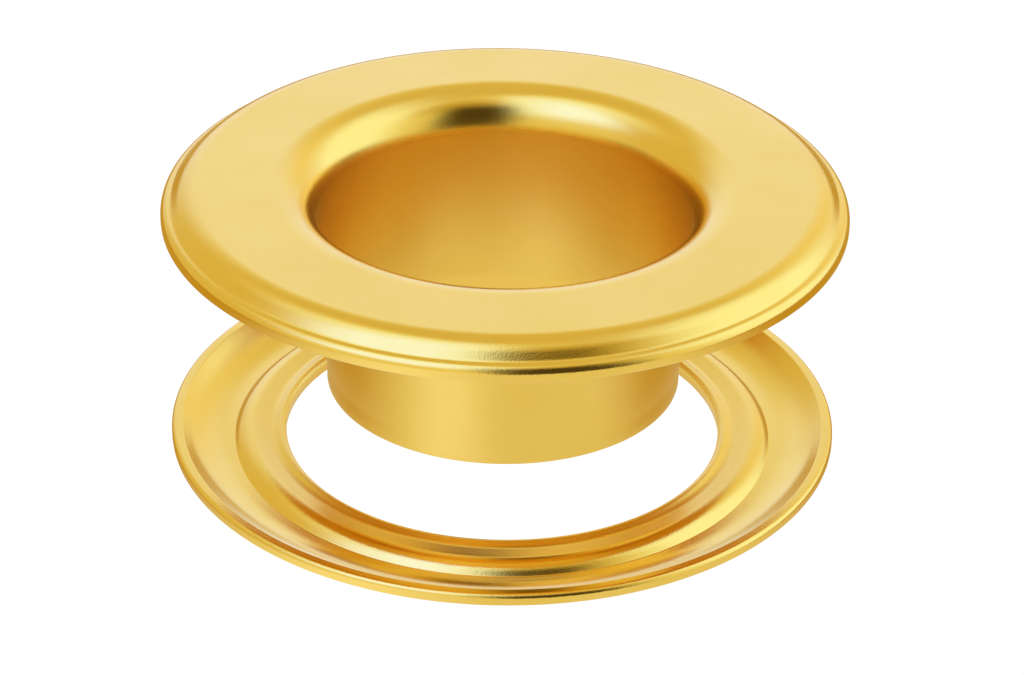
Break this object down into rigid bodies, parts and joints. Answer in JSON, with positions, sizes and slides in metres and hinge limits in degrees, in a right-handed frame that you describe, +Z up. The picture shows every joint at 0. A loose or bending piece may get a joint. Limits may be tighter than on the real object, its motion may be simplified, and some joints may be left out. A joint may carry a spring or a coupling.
{
  "type": "eyelet",
  "caption": "Two-piece sheet-metal eyelet: a flanged eyelet with a tapered barrel, and the dished washer that the barrel is set through.",
  "frame": {"origin": "on the common axis, in the plane that the washer's underside stands on", "axes": "+Z up along the common axis, from the washer to the eyelet's flange; +X and +Y are any two directions across it"},
  "size_m": [0.024, 0.024, 0.0104],
  "materials": {
    "eyelet_sheet": "satin gold-coloured brass",
    "washer_sheet": "satin gold-coloured brass"
  },
  "bodies": {
    "root": {"eyelet": "eyelet_sheet", "washer": "washer_sheet"}
  },
  "joints": []
}
